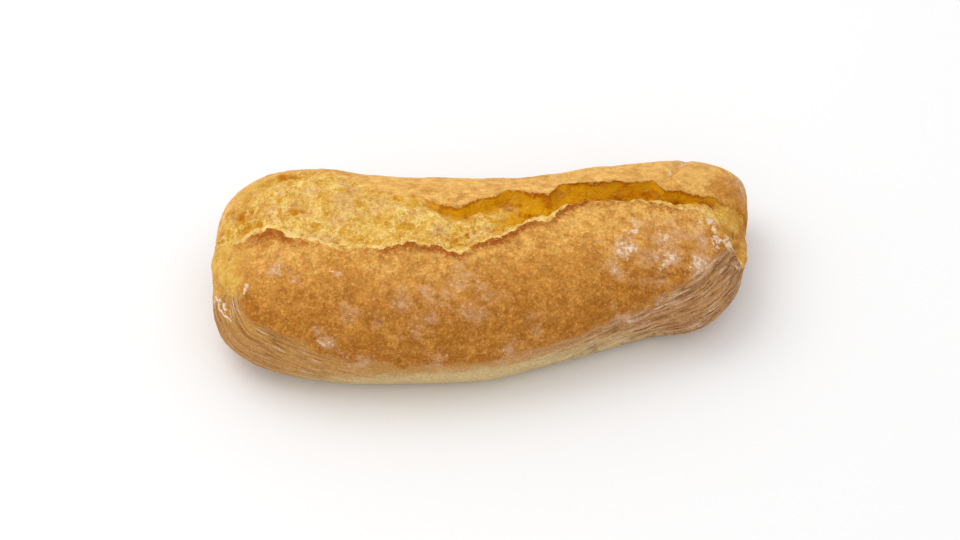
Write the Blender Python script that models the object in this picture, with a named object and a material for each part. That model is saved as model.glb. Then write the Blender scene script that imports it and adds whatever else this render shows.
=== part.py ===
"""A ciabatta: one baked loaf, burst open along its crown.

The loaf lies along X with its front side towards -Y and its flat base on z = 0. The origin is under
the middle of the loaf. Sizes below are in millimetres; the mesh itself is in metres.

A point of the skin is named by two angles. The reach runs from the left tip (-90) to the right tip
(90). The girth runs round the loaf: 0 is the front, 90 the crown, 180 the back and 270 the base.
"""

import bpy
import numpy as np
from mathutils import Vector, noise

MM = 0.001

# The loaf before it bursts.
LENGTH = 270.0
MEAN_RADIUS = 45.0  # of a cross-section, for spacing and for turning millimetres into angles
EQUATOR_Z = 25.0  # height at which the loaf is widest
BASE_CUT = 10.0  # how far the round underside would reach below the tray
BASE_BLEND = 3.5  # half height of the soft edge between side and base
CROWN_ROUNDNESS = 2.25  # 2 is an ellipse, more is boxier
BASE_ROUNDNESS = 2.5
LEFT_BLUNTNESS = (3.7, 5.1)  # of the left end seen from above, front and back
RIGHT_BLUNTNESS = (4.9, 5.7)
END_BLUNTNESS = 2.7  # of both ends seen from the front

# Curves along the loaf: (x, value) pairs joined smoothly.
END_SLANT = ((-135, -4.3), (-70, 0), (70, 0), (135, -9))  # push along X of the front of each end
SPINE_Y = ((-135, 3), (-80, -2), (-25, -5), (30, -3), (80, 6), (135, 13))
FRONT_REACH = ((-135, 54), (-95, 55), (-50, 55.5), (0, 53), (50, 46.5), (85, 47), (110, 53.5), (135, 51.5))
BACK_REACH = ((-135, 64), (-95, 67.5), (-50, 61), (0, 55.5), (50, 51), (85, 48), (110, 48), (135, 43.5))
CROWN_Z = ((-135, 65), (-90, 68), (-50, 65.5), (0, 63), (60, 62), (105, 62), (135, 60))

# The burst along the crown: the girth of its two lips, how far the crumb behind each lip drops
# below the skin, how wide the torn ledge behind the front lip is, and how far the crumb swells up
# again between the lips.
FRONT_LIP = (
    (-135, 107), (-129, 99.5), (-123, 94.5), (-110, 94.5), (-103, 94.5), (-95, 89), (-89, 86), (-81, 84.5),
    (-75, 80), (-66, 80), (-52, 79.5), (-37, 82.5), (-23, 80), (-12, 76.5), (-4, 82), (7, 83.5),
    (14, 87), (22, 90), (34, 91), (42, 97.5), (54, 98), (69, 95), (84, 92), (98, 87.5), (110, 86),
    (114, 83), (117, 75), (119, 66), (120.5, 50), (121.5, 36), (124, 24), (135, 18),
)
BACK_LIP = (
    (-135, 122), (-110, 134), (-90, 140), (-70, 134), (-52, 120), (-39, 114), (-27, 110.5), (-19, 105),
    (-11, 102), (-3, 106.5), (8, 110.5), (16, 115.5), (25, 113.5), (34, 110), (41, 115), (52, 115),
    (62, 112), (75, 109.5), (84, 109.5), (90, 103), (101, 101.5), (108, 98.5), (116, 100),
    (121, 97.5), (128, 100), (135, 102),
)
FRONT_DROP = (
    (-135, 0.5), (-115, 1), (-50, 1), (-20, 1.5), (0, 3), (25, 5.5), (50, 9), (84, 8.5), (90, 6.5),
    (97, 8.5), (108, 6), (114, 7), (120, 3), (135, 2),
)
BACK_DROP = (
    (-135, 0), (-60, 0.3), (-30, 1.5), (-10, 3.5), (25, 4.5), (50, 5.5), (84, 5.5), (90, 4), (97, 5),
    (108, 3.5), (114, 4.5), (120, 1.5), (135, 1),
)
FRONT_LEDGE = ((-135, 4), (0, 4), (30, 5), (85, 5.5), (105, 8), (135, 8))
CRUMB_SWELL = ((-135, 0.5), (-100, 2.8), (-50, 3), (-10, 1.8), (30, 0.5), (60, -0.5), (135, 0))
LIP_RISE = 1.1  # how far each lip curls up
LIP_CURL = 4.0  # how far back from its edge it starts to
BACK_WALL = 2.6  # width of the steep torn wall below the back lip
UNDERCUT = 1.4  # how far the torn walls hollow out below the lips where the burst is deep
DEEP_DROP = 8.0  # a drop this large counts as deep
OPEN_DROP = 4.0  # and from this drop on the back lip has its full rise
LIP_JAGS = ((9.0, 0.8), (4.0, 1.0))  # size of the jags along a lip, and how far they reach

# Unevenness of the surface: (size of the lumps, height) pairs.
CRUST_LUMPS = ((38.0, 1.3), (14.0, 0.5))
CRUMB_LUMPS = ((15.0, 2.0), (6.0, 1.4))

# Creases pressed into the crust, as (reach, girth) lines with their width and depth.
CREASES = (
    (((-76, 62), (-66, 55), (-60, 47), (-56, 37), (-52, 29)), 6.0, 3.5),  # fold at the left end
    (((37, 114), (39, 124), (40, 160)), 3.5, 3.5),  # slit across the back at the right
    (((53, 72), (62, 66), (74, 60)), 5.0, 2.4),  # folds at the right end
    (((55, 54), (64, 46), (74, 40)), 4.5, 1.8),
)
CREASE_STEPS = 36  # places along a crease that press into the skin

# The mesh: rings from tip to tip, and columns round each of the five stretches of a ring. These are
# the front crust, the torn wall below the front lip, the crumb, the back wall and the back crust.
RINGS = 190
COLUMNS = (60, 6, 34, 6, 58)
LEAST_SWELL = 0.3  # share of the full cross-section below which widths along the girth stop narrowing
TIP_FADE = 14.0  # the burst and the lumps fade out over this many degrees of reach before each tip
BASE_FADE = 9.0  # and the lumps over this height above the base
TRIANGLES = 11600


def along(pairs, x):
    """Smooth curve through (x, value) pairs, flat beyond its ends."""
    knots, values = (np.array(column, float) for column in zip(*pairs))
    slopes = np.gradient(values, knots)
    x = np.clip(x, knots[0], knots[-1])
    i = np.clip(np.searchsorted(knots, x) - 1, 0, len(knots) - 2)
    width = knots[i + 1] - knots[i]
    t = (x - knots[i]) / width
    bend = width * t * (1 - t) * (slopes[i] * (1 - t) - slopes[i + 1] * t)
    return values[i] + (values[i + 1] - values[i]) * smooth(t) + bend


def smooth(t):
    """From 0 to 1, level at both ends."""
    t = np.clip(t, 0, 1)
    return t * t * (3 - 2 * t)


def rounded(value, roundness):
    """Sine or cosine bent from an ellipse towards a box."""
    return np.sign(value) * np.abs(value) ** (2 / roundness)


def bumps(points, size, seed):
    """Smooth noise between about -1 and 1, with lumps of this size."""
    shift = Vector((seed, 0, 0))
    values = [noise.noise(Vector(point) / size + shift) for point in points.reshape(-1, 3)]
    return np.array(values).reshape(points.shape[:-1])


def outline(reach, front):
    """Place along X and share of the full cross-section, on a superellipse from tip to tip."""
    share = (1 + front) / 2
    left = LEFT_BLUNTNESS[1] + (LEFT_BLUNTNESS[0] - LEFT_BLUNTNESS[1]) * share
    right = RIGHT_BLUNTNESS[1] + (RIGHT_BLUNTNESS[0] - RIGHT_BLUNTNESS[1]) * share
    bluntness = END_BLUNTNESS + (np.where(reach < 0, left, right) - END_BLUNTNESS) * front**2
    sine, cosine = np.sin(np.radians(reach)), np.cos(np.radians(reach))
    size = (np.abs(sine) ** bluntness + np.abs(cosine) ** bluntness) ** (1 / bluntness)
    return LENGTH / 2 * sine / size, cosine / size


def settled(z):
    """Heights after the loaf has flattened on its tray."""
    soft = (z + BASE_BLEND) ** 2 / (4 * BASE_BLEND)
    return np.where(z > BASE_BLEND, z, np.where(z < -BASE_BLEND, 0.0, soft))


def skin(reach, girth):
    """Points of the unburst loaf, for angles in degrees."""
    front, up = np.cos(np.radians(girth)), np.sin(np.radians(girth))
    x, swell = outline(reach, front)
    half = np.where(front > 0, along(FRONT_REACH, x), along(BACK_REACH, x))
    roundness = np.where(up > 0, CROWN_ROUNDNESS, BASE_ROUNDNESS)
    height = np.where(up > 0, along(CROWN_Z, x) - EQUATOR_Z, EQUATOR_Z + BASE_CUT)
    sideways = swell * rounded(front, roundness)
    y = along(SPINE_Y, x) - half * sideways
    z = EQUATOR_Z + height * swell * rounded(up, roundness)
    x = x + along(END_SLANT, x) * sideways
    return np.stack([x, y, settled(z)], axis=-1)


def directions(reach, girth, step=0.4):
    """Unit vectors out of the skin and along its girth."""
    round_it = skin(reach, girth + step) - skin(reach, girth - step)
    along_it = skin(reach + step, girth) - skin(reach - step, girth)
    outward = np.cross(along_it, round_it)
    outward /= np.linalg.norm(outward, axis=-1, keepdims=True)
    return outward, round_it / np.linalg.norm(round_it, axis=-1, keepdims=True)


def even_reaches():
    """Reach of each ring, evenly spaced along the skin, without the two tips."""
    fine = np.linspace(-90, 90, 3001)
    x, swell = outline(fine, 0)
    path = np.cumsum(np.hypot(np.gradient(x), MEAN_RADIUS * np.gradient(swell)))
    return np.interp(np.linspace(path[0], path[-1], RINGS + 2)[1:-1], path, fine)


def jags(x, seed):
    """Unevenness of a lip along the loaf, in millimetres."""
    line = np.stack([x, np.zeros_like(x), np.zeros_like(x)], axis=-1)
    return sum(reach * bumps(line, size, seed) for size, reach in LIP_JAGS)


def burst(reach, place):
    """Girth, height above the skin, shift along the girth and share of crumb.

    The place counts the stretches of a ring, each from 0 to 1 across its width.
    """
    x, swell = outline(reach, 0)
    millimetre = np.degrees(1 / (MEAN_RADIUS * np.maximum(swell, LEAST_SWELL)))
    front = along(FRONT_LIP, x) + jags(x, 3) * millimetre
    back = along(BACK_LIP, x) + jags(x, 7) * millimetre
    front_foot = front + along(FRONT_LEDGE, x) * millimetre
    back_foot = back - BACK_WALL * millimetre
    front_drop, back_drop = along(FRONT_DROP, x), along(BACK_DROP, x)
    front_rise = np.full_like(x, LIP_RISE)
    back_rise = LIP_RISE * smooth(back_drop / OPEN_DROP)
    under = np.full_like(x, 270.0)
    ends = np.stack([under - 360, front, front_foot, back_foot, back, under])
    levels = np.stack([front_rise, front_rise, -front_drop, -back_drop, back_rise, back_rise])

    stretch = np.floor(place).astype(int)
    t = place - stretch
    girth = ends[stretch].T * (1 - t) + ends[stretch + 1].T * t
    ease = np.select([stretch == 1, stretch == 3], [t**4, t * (2 - t)], t)
    level = levels[stretch].T + (levels[stretch + 1] - levels[stretch]).T * ease
    gap = np.where(stretch == 0, front[:, None] - girth, girth - back[:, None]) / millimetre[:, None]
    curled = level * np.exp(-gap / LIP_CURL)
    swelled = level + along(CRUMB_SWELL, x)[:, None] * np.sin(np.pi * t)
    height = np.select([stretch == 2, stretch % 2 == 1], [swelled, level], curled)
    hollow = UNDERCUT * np.sin(np.pi * t) * np.maximum(front_drop, back_drop)[:, None] / DEEP_DROP
    shift = np.select([stretch == 1, stretch == 3], [-hollow, hollow], 0.0)
    crumb = np.select([stretch == 1, stretch == 2, stretch == 3], [t, 1.0, 1 - t], 0.0)
    return girth, height, shift, crumb


def crease_depth(points):
    """How far the creases press in at each point of the skin."""
    depth = np.zeros(points.shape[:-1])
    for knots, width, deepest in CREASES:
        reaches, girths = np.array(knots, float).T
        t = np.linspace(0, 1, CREASE_STEPS)
        knot_t = np.linspace(0, 1, len(knots))
        line = skin(np.interp(t, knot_t, reaches), np.interp(t, knot_t, girths))
        taper = smooth(3 * t + 0.4) * smooth(3 * (1 - t))
        for spot, share in zip(line, taper):
            nearness = np.exp(-((2 * np.linalg.norm(points - spot, axis=-1) / width) ** 2))
            depth = np.maximum(depth, deepest * share * nearness)
    return depth


def loaf_grid():
    """Points of the burst loaf in millimetres, ring by ring."""
    reaches = even_reaches()
    place = np.concatenate([i + np.arange(count) / count for i, count in enumerate(COLUMNS)])
    girth, height, shift, crumb = burst(reaches, place)
    reach = np.repeat(reaches[:, None], len(place), axis=1)
    points = skin(reach, girth)
    outward, sideways = directions(reach, girth)
    lumps = sum(high * bumps(points, size, 11) for size, high in CRUST_LUMPS)
    crags = sum(high * bumps(points, size, 23) for size, high in CRUMB_LUMPS)
    relief = lumps * smooth(points[..., 2] / BASE_FADE) + crags * crumb - crease_depth(points)
    fade = smooth((90 - np.abs(reach)) / TIP_FADE)[..., None]
    return points + fade * (outward * (height + relief)[..., None] + sideways * shift[..., None])


def closed_faces(rings, columns):
    """Faces of a grid that closes round itself, with a fan to one more point at each end."""
    faces = []
    for column in range(columns):
        beside = (column + 1) % columns
        for ring in range(rings - 1):
            low, high = ring * columns, (ring + 1) * columns
            faces.append((low + beside, low + column, high + column, high + beside))
        last = (rings - 1) * columns
        faces.append((column, beside, rings * columns))
        faces.append((last + beside, last + column, rings * columns + 1))
    return faces


def crust_material():
    """Golden baked crust."""
    material = bpy.data.materials.new("crust")
    material.use_nodes = True
    shader = material.node_tree.nodes["Principled BSDF"]
    shader.inputs["Base Color"].default_value = (0.52, 0.24, 0.06, 1)
    shader.inputs["Roughness"].default_value = 0.6
    return material


def make_loaf():
    """The whole loaf as one closed mesh, its base resting on z = 0 under the middle of the loaf."""
    grid = loaf_grid()
    tips = skin(np.array([-90.0, 90.0]), np.array([90.0, 90.0]))
    points = np.concatenate([grid.reshape(-1, 3), tips])
    low, high = points.min(axis=0), points.max(axis=0)
    points -= [(low[0] + high[0]) / 2, (low[1] + high[1]) / 2, low[2]]
    mesh = bpy.data.meshes.new("ciabatta")
    faces = closed_faces(*grid.shape[:2])
    mesh.from_pydata((points * MM).tolist(), [], faces)
    mesh.materials.append(crust_material())
    mesh.shade_smooth()
    loaf = bpy.data.objects.new("ciabatta", mesh)
    bpy.context.scene.collection.objects.link(loaf)
    thinner = loaf.modifiers.new("fewer_faces", "DECIMATE")
    thinner.ratio = TRIANGLES / (2 * len(faces))
    return loaf


def main():
    for thing in list(bpy.data.objects):
        bpy.data.objects.remove(thing)
    make_loaf()


if __name__ == "__main__":
    main()
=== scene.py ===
"""The looks of a ciabatta: one baked loaf, burst open along its crown, dusted with flour.

The loaf lies along X with its front side towards -Y and its flat base on z = 0. Sizes below are in
millimetres and angles in degrees; the meshes themselves are in metres.

A point of the skin is named by two angles. The reach runs from the left tip (-90) to the right tip
(90). The girth runs round the loaf: 0 is the front, 90 the crown, 180 the back and 270 the base.

The burst, the folds and the fine relief move the points of that skin. Masks, one number for each
point, tell the material where crumb, browned crust, flour or painted shade lies.
"""

import bpy
import numpy as np
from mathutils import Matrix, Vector, noise


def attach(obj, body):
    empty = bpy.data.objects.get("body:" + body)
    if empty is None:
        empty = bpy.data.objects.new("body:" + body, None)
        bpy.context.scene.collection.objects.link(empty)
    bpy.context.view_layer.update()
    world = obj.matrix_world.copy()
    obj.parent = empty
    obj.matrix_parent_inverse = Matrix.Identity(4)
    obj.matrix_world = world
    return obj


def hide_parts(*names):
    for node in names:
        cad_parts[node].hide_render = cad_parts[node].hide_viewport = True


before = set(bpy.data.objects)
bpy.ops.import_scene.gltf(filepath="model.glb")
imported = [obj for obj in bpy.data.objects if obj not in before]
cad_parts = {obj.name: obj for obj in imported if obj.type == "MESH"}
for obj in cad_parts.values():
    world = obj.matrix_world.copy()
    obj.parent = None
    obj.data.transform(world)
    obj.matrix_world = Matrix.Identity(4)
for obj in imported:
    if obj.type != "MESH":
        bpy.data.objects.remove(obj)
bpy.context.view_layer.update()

MM = 0.001
BASE_GIRTH = 270.0

# The loaf before it bursts.
LENGTH = 270.0
MEAN_RADIUS = 45.0  # of a cross-section, to turn millimetres into angles
EQUATOR_Z = 25.0  # height at which the loaf is widest
BASE_CUT = 10.0  # how far the round underside would reach below the flat base
BASE_BLEND = 3.5  # half height of the soft edge between side and base
CROWN_ROUNDNESS = 2.25  # 2 is an ellipse, more is boxier
BASE_ROUNDNESS = 2.5
LEFT_BLUNTNESS = (3.7, 5.1)  # of the left end seen from above, front and back
RIGHT_BLUNTNESS = (4.9, 5.7)
END_BLUNTNESS = 2.7  # of both ends seen from the front

# Curves along the loaf: (x, value) pairs joined smoothly. The slant pushes the fronts of the ends
# along X.
END_SLANT = ((-135, -4.3), (-70, 0), (70, 0), (135, -9))
SPINE_Y = ((-135, 3), (-80, -2), (-25, -5), (30, -3), (80, 6), (135, 13))
FRONT_REACH = ((-135, 54), (-95, 55), (-50, 55.5), (0, 53), (50, 46.5), (85, 47), (110, 53.5), (135, 51.5))
BACK_REACH = ((-135, 64), (-95, 67.5), (-50, 61), (0, 55.5), (50, 51), (85, 48), (110, 48), (135, 43.5))
CROWN_Z = ((-135, 65), (-90, 68), (-50, 65.5), (0, 63), (60, 62), (105, 62), (135, 60))

# The burst along the crown: the girth of its two lips, how far the crumb behind each lip drops
# below the skin, how wide the torn ledge behind the front lip is, and how far the crumb swells up
# again between the lips.
FRONT_LIP = (
    (-135, 107), (-129, 99.5), (-123, 94.5), (-110, 94.5), (-103, 94.5), (-95, 89), (-89, 86), (-81, 84.5),
    (-75, 80), (-66, 80), (-52, 79.5), (-37, 82.5), (-23, 80), (-12, 76.5), (-4, 82), (7, 83.5),
    (14, 87), (22, 90), (34, 91), (42, 97.5), (54, 98), (69, 95), (84, 92), (98, 87.5), (110, 86),
    (114, 83), (117, 75), (119, 66), (120.5, 50), (121.5, 36), (124, 24), (135, 18),
)
BACK_LIP = (
    (-135, 122), (-110, 134), (-90, 140), (-70, 134), (-52, 120), (-39, 114), (-27, 110.5), (-19, 105),
    (-11, 102), (-3, 106.5), (8, 110.5), (16, 115.5), (25, 113.5), (34, 110), (41, 115), (52, 115),
    (62, 112), (75, 109.5), (84, 109.5), (90, 103), (101, 101.5), (108, 98.5), (116, 100),
    (121, 97.5), (128, 100), (135, 102),
)
FRONT_DROP = (
    (-135, 0.5), (-115, 1), (-50, 1), (-20, 1.5), (0, 3), (25, 5.5), (50, 9), (84, 8.5), (90, 6.5),
    (97, 8.5), (108, 6), (114, 7), (120, 3), (135, 2),
)
BACK_DROP = (
    (-135, 0), (-60, 0.3), (-30, 1.5), (-10, 3.5), (25, 4.5), (50, 5.5), (84, 5.5), (90, 4), (97, 5),
    (108, 3.5), (114, 4.5), (120, 1.5), (135, 1),
)
FRONT_LEDGE = ((-135, 4), (0, 4), (30, 5), (85, 5.5), (105, 8), (135, 8))
CRUMB_SWELL = ((-135, 0.5), (-100, 2.8), (-50, 3), (-10, 1.8), (30, 0.5), (60, -0.5), (135, 0))
LIP_RISE = 1.1  # how far each lip curls up
LIP_CURL = 4.0  # how far back from its edge it starts to
BACK_WALL = 2.6  # width of the steep torn wall below the back lip
UNDERCUT = 1.4  # how far the torn walls hollow out below the lips where the burst is deep
DEEP_DROP = 8.0  # a drop this large counts as deep
OPEN_DROP = 4.0  # and from this drop on the back lip has its full rise
LIP_WAVES = ((9, 0.8),)  # size of the waves along a lip, and how far they reach
LIP_JAGS = ((5.5, 1.6), (2.6, 1.2), (1.3, 0.6))  # and of the jags on its very edge
JAG_WIDTH = 2.4  # how far from the edge the jags die away
LEDGE_WAVES = ((8, 2), (3.5, 1.2))  # size and reach of the waves along the ledge's inner edge
CRUMB_START = 3.0  # the crumb sets in over the first third of each torn wall

# Unevenness of the surface: (size of the lumps, height) pairs.
CRUST_LUMPS = ((38, 1.3), (14, 0.5))
CRUMB_LUMPS = ((15, 2), (6, 1))
CRUST_GRAIN = ((5, 0.2), (2.4, 0.14))
CRUMB_GRAIN = ((3.4, 0.35), (1.9, 0.22))
CRUMB_RIDGES = ((9, 0.6), (4.5, 0.5), (2.6, 0.3))  # thin ridges instead of lumps
RIDGE_CREST = 0.4  # part of a ridge's height that stands above the crumb
RIDGE_STEEPNESS = 2.0
CRUMB_PITS = ((6, 0.9, 0.2), (2.8, 0.8, 0.3))  # spacing, depth, and share of the cells that hold a pit
PIT_RADIUS = 0.5  # as a share of their spacing
PIT_WARP = 0.45  # how far they are pulled out of round, as a share of their spacing
PIT_DRAW = 5.3  # sets the cells' centres apart, so that each draws its own number
CRUMB_SMOOTH = ((-135, 2), (-90, 5), (-30, 3), (0, 2.5), (40, 3), (135, 4))  # strip behind the front lip

# Size and reach of the waves that warp the patches below, and of those that fray holes, clots and lines.
PATCH_WARP = ((9, 4), (4, 2.5))
FRAY_WARP = ((3, 1.6),)

# Single holes in the crumb and dents in the crust, as (reach, girth, radius, depth).
HOLES = (
    (-39, 137, 3, 2.2), (-37.3, 135.5, 3, 2.4), (-35.7, 133, 2.6, 2), (-33.8, 132, 2, 1.4),
    (-38.4, 101.5, 2.2, 1.8), (-37, 102, 1.8, 1.4), (-39.6, 103, 1.8, 1.3), (-53.1, 117.4, 2.6, 2),
    (-51.5, 119, 2, 1.4), (-53, 112, 1.6, 1.3), (-49, 114, 1.6, 1.2), (-52, 106, 1.4, 1),
    (-50, 109.5, 1.2, 0.9), (-47, 111, 1.3, 0.9), (-45, 104, 1.1, 0.8), (-48, 102, 1.2, 0.8),
    (-43, 112, 1.1, 0.8), (-6.2, 85, 1.5, 1.4), (-3.6, 88, 1.5, 1.4), (7, 110, 1.3, 1.4),
    (8.6, 111, 1.3, 1.4), (8.1, 101, 1.6, 1.6), (9.8, 100, 1.8, 2), (11.2, 98, 1.6, 1.8),
    (4.7, 96, 1.5, 1.2), (1.6, 104, 1.4, 1.2), (5.8, 105, 1.4, 1.4),
)
DENTS = (
    (33.8, 36, 1.8, 0.9), (35.9, 37.4, 1.4, 0.6), (41.8, 25.5, 1.6, 0.7), (46.7, 29.3, 2, 0.9),
    (54.5, 40, 2, 1.3), (-28, 50, 1.2, 0.3), (12, 60, 1.4, 0.3),
)

# Creases pressed into the crust, as (reach, girth) lines with their width and depth.
CREASES = (
    (((-76, 62), (-66, 55), (-60, 47), (-56, 37), (-52, 29)), 6, 3.5),  # fold at the left end
    (((37, 114), (39, 124), (40, 160)), 3.5, 3.5),  # slit across the back at the right
    (((53, 72), (62, 66), (74, 60)), 5, 2.4),  # folds at the right end
    (((55, 54), (64, 46), (74, 40)), 4.5, 1.8),
)
CREASE_STEPS = 36  # places along a crease that press into the skin
CREASE_TAPER = 3.0  # a crease fades out over a third of its length at each end
CREASE_START = 0.4  # and has this share of its depth left where it starts

# Edge of the browned crust along the front, as a (reach, girth) line. The skin below it stayed pale.
BROWN_EDGE = (
    (-54, 88), (-51, 73), (-49, 48), (-45, 30), (-39, 21), (-33, 13), (-26, 6), (-18, 3), (-4, 3),
    (8, 4.5), (16, 7), (23, 12), (28, 15), (32, 21), (38, 33), (46, 48), (54, 60), (60, 72),
)
BACK_EDGE_Z = 13.0  # height of that edge round the back
END_EDGE_RUN = 50.0  # height over which it slants from front to back across each end
END_EDGE_TURN = 1.4  # how fast it does so
END_EDGE_DEPTH = 14.0  # distances to the front edge count up to this one across the ends
BROWN_STEP = 0.5  # how far the browned crust stands above the pale skin
BROWN_SOFTNESS = 4.5  # width over which it does so
EDGE_WANDER = ((14, 3.5), (7, 2.5), (3, 1.6))  # size and reach of the edge's wanderings
EDGE_STEPS = 260

# Wrinkles of the pale skin, along the edge of the browned crust.
WRINKLE_SPACING = 2.5
WRINKLE_LENGTH = 26.0
WRINKLE_DEPTH = 0.3
WRINKLE_SHARPNESS = 5.0

# How strong they are along the loaf, how pale the foot of the skin is, and how dusty its wrinkles
# are, as (reach, value) pairs.
WRINKLE_SHARE = (
    (-80, 0), (-62, 0.6), (-38, 0.7), (-25, 0.3), (5, 0.2), (18, 0.8), (30, 1), (62, 1), (82, 0),
)
FOOT_PALENESS = ((-90, 0.1), (-46, 0.15), (-32, 0.6), (-16, 1), (12, 1), (26, 0.7), (40, 0.2), (90, 0.1))
DUSTINESS = ((-60, -0.3), (-30, -0.1), (0, 0.4), (25, 0.7), (50, 1))
PALE_FOOT = (30, 12)  # heights between which the skin pales towards its foot
PALE_HEM = (6, 1)  # and those between which it does so all round
STREAK_LENGTH = 12.0  # of the flour and shadow in the wrinkles; they are about 1 wide

# How brown the front lip is along the loaf, as (x, value) pairs, and how wide its brown rim is.
RIM = (
    (-135, 0.1), (-118, 0.6), (-107, 1), (-96, 0.9), (-86, 0.4), (-60, 0.4), (-44, 0.9), (-30, 1),
    (-15, 0.9), (-9, 0.5), (-4, 0.9), (12, 1), (22, 1), (31, 0.6), (40, 0.9), (50, 0.8), (64, 0.45),
    (100, 0.5), (112, 0.2), (135, 0.1),
)
RIM_WIDTH = 5.5
INNER_REACH = 8.0  # distances to the lips are kept up to this one
LIP_SHADOW_WIDTH = 2.0  # of the darkest painted shadow, a line close below the back lip
LIP_SHADOW_START = -50.0  # it sets in at this x
LIP_SHADOW_RUN = 40.0  # and has its full strength this much further on
WALL_SHADE_WIDTH = 4.0  # over which the painted shade on the wall below the back lip fades
WALL_SHADE_EDGE = 1.25  # how many of those widths it reaches

# Patches as (reach, girth, radius, strength): thin flour, clots of flour, browner crust, smooth
# stretched dough, darker spongy crumb and rosier crumb.
FLOUR_PATCHES = (
    (-42, 68, 8, 0.7), (-39, 62, 5, 0.6), (-29, 66, 3, 0.8), (-13, 56, 7, 0.5), (-27, 42, 9, 0.5),
    (-33, 27, 5, 0.7), (-31.6, 22, 5, 0.7), (-30, 15, 5, 0.7), (-28, 9, 6, 0.7), (-26, 5, 7, 0.6),
    (-50, 156, 7, 0.9), (-43, 156, 6, 0.8), (-36, 153, 5, 0.6), (2, 8, 9, 0.5), (-12, 8, 9, 0.5),
    (31, 76, 6, 0.8), (27, 62, 9, 0.8), (25, 50, 8, 0.6), (36, 53, 9, 0.8), (43, 48, 9, 0.8),
    (51, 80, 5, 0.9), (36, 66, 10, 0.7), (46, 62, 8, 0.6), (-5, 45, 11, 0.5), (-16, 34, 11, 0.5),
    (10, 25, 11, 0.4), (34, 18, 7, 0.7), (27, 8, 8, 0.6), (15, -2, 8, 0.5), (-66, 40, 4, 1),
    (-5, 55, 18, 0.5), (-18, 48, 18, 0.45), (34, 58, 22, 0.5), (44, 68, 16, 0.5), (-38, 172, 14, 0.7),
    (-12, 160, 12, 0.5), (14, 176, 16, 0.6), (40, 150, 12, 0.7), (58, 140, 12, 0.6),
    (-60, 150, 10, 0.6), (-72, 190, 12, 0.6), (72, 185, 10, 0.6),
)
FLOUR_CLOTS = (
    (30.7, 74.1, 2.4, 1.6), (28.7, 74.4, 2, 1.3), (26.5, 61, 1.8, 1.6), (28.5, 61.3, 1.8, 1.6),
    (30, 62, 1.6, 1.3), (29.8, 46.5, 1.6, 1.3), (33.8, 61.1, 2.2, 1.1), (35, 48.2, 1.7, 1.5),
    (36.8, 43.8, 1.5, 1.3), (40.2, 43.6, 1.8, 1.6), (41.8, 46.6, 2, 1.3), (46.7, 77.4, 2.2, 1.6),
    (56, 57, 3, 1.4), (53, 60, 2.4, 1.2), (-38, 62, 1.8, 1.2), (-40, 68, 2.6, 0.9),
    (-31, 66, 1.4, 1.5), (50, 66, 3, 0.9), (54.5, 56, 4.5, 1.8), (50, 62, 4, 1.5),
    (49, 55, 3, 1.4), (56, 30, 2.5, 1.8), (-54, 155, 4, 1.3), (-50, 157, 4, 1.4),
    (-45, 158, 4, 1.3), (-40, 157, 3, 1.2), (24.5, 50, 1.6, 1.2), (25.5, 44, 1.6, 1.2),
    (-40, 19, 1.6, 0.9),
)
TOAST_PATCHES = (
    (55, 111, 9, 0.8), (-52, 120, 6, 0.8), (-37.5, 107, 4, 0.8), (-50, 40, 6, 0.7), (50, 96, 6, 0.4),
    (-28, 104, 8, 0.3), (-22, 108, 7, 0.3), (62, 106, 12, 0.8), (67, 80, 7, 0.7), (62, 70, 6, 0.9),
    (80, 70, 10, 1.6), (82, 100, 9, 1.6), (84, 40, 9, 1.4), (-48, 126, 5, 0.8), (-54, 122, 5, 1),
    (-51, 115, 4, 0.9), (60, 126, 9, 0.8), (66, 138, 9, 0.8), (70, 62, 8, 1.3), (62, 54, 7, 1.3),
    (66, 42, 8, 1.4), (58, 76, 5, 0.7), (-30, 162, 16, 0.3), (10, 160, 14, 0.3),
)
DOUGH_PATCHES = (
    (-62, 72, 17, 1), (-56, 58, 12, 0.9), (-66, 88, 12, 1), (61, 66, 9, 0.8), (68, 80, 10, 0.9),
    (-43, 136, 8, 1), (-47, 133, 8, 1), (-38, 128, 6, 0.7), (66, 44, 9, 0.9), (72, 28, 8, 1.1),
    (86, 120, 8, 1), (-84, 110, 9, 1),
)
SPONGE_PATCHES = (
    (-54, 98, 12, 1), (-48, 106, 11, 1), (-17, 92, 7, 1), (-26, 88, 6, 0.8), (-3, 92, 7, 0.7),
    (4, 100, 8, 0.9), (-40, 128, 6, 0.7), (-9, 101, 5, 0.8),
)
ROSY_PATCHES = (
    (-28, 105, 8, 1), (-21, 104, 8, 1), (-35, 114, 6, 0.8), (-41, 100, 5, 0.5), (-14, 97, 5, 0.6),
)

# Lines as (route, half width, strength): flour in folds, and cracks in the stretched dough.
FLOUR_LINES = (
    (((-66, 40), (-62, 36), (-60, 30), (-57, 27), (-53, 24)), 0.8, 1),  # in the fold at the left end
    (((-62, 40), (-58, 38), (-57, 32)), 0.6, 0.9),
    (((-53, 43), (-52, 35)), 0.7, 0.9),
    (((-50.5, 58), (-49, 50)), 0.7, 0.8),
    (((37.7, 121), (38.4, 127)), 0.7, 1),  # in the slit at the back
    (((39, 136), (39.6, 146)), 0.9, 1),
)
CRACKS = (
    (((62.5, 72), (64, 66), (62, 60), (60.5, 57), (62.5, 49)), 0.5, 0.9),
    (((-59, 88), (-59.8, 83)), 0.5, 0.8),
    (((32.8, 36.4), (34.2, 37.4)), 0.9, 0.7),  # in two dents at the right
    (((35.2, 39.6), (36.6, 38.8)), 0.7, 0.7),
)
FLOUR_RIDGE = 0.3  # height of the flour along its lines
CRACK_DEPTH = 1.0

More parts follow.
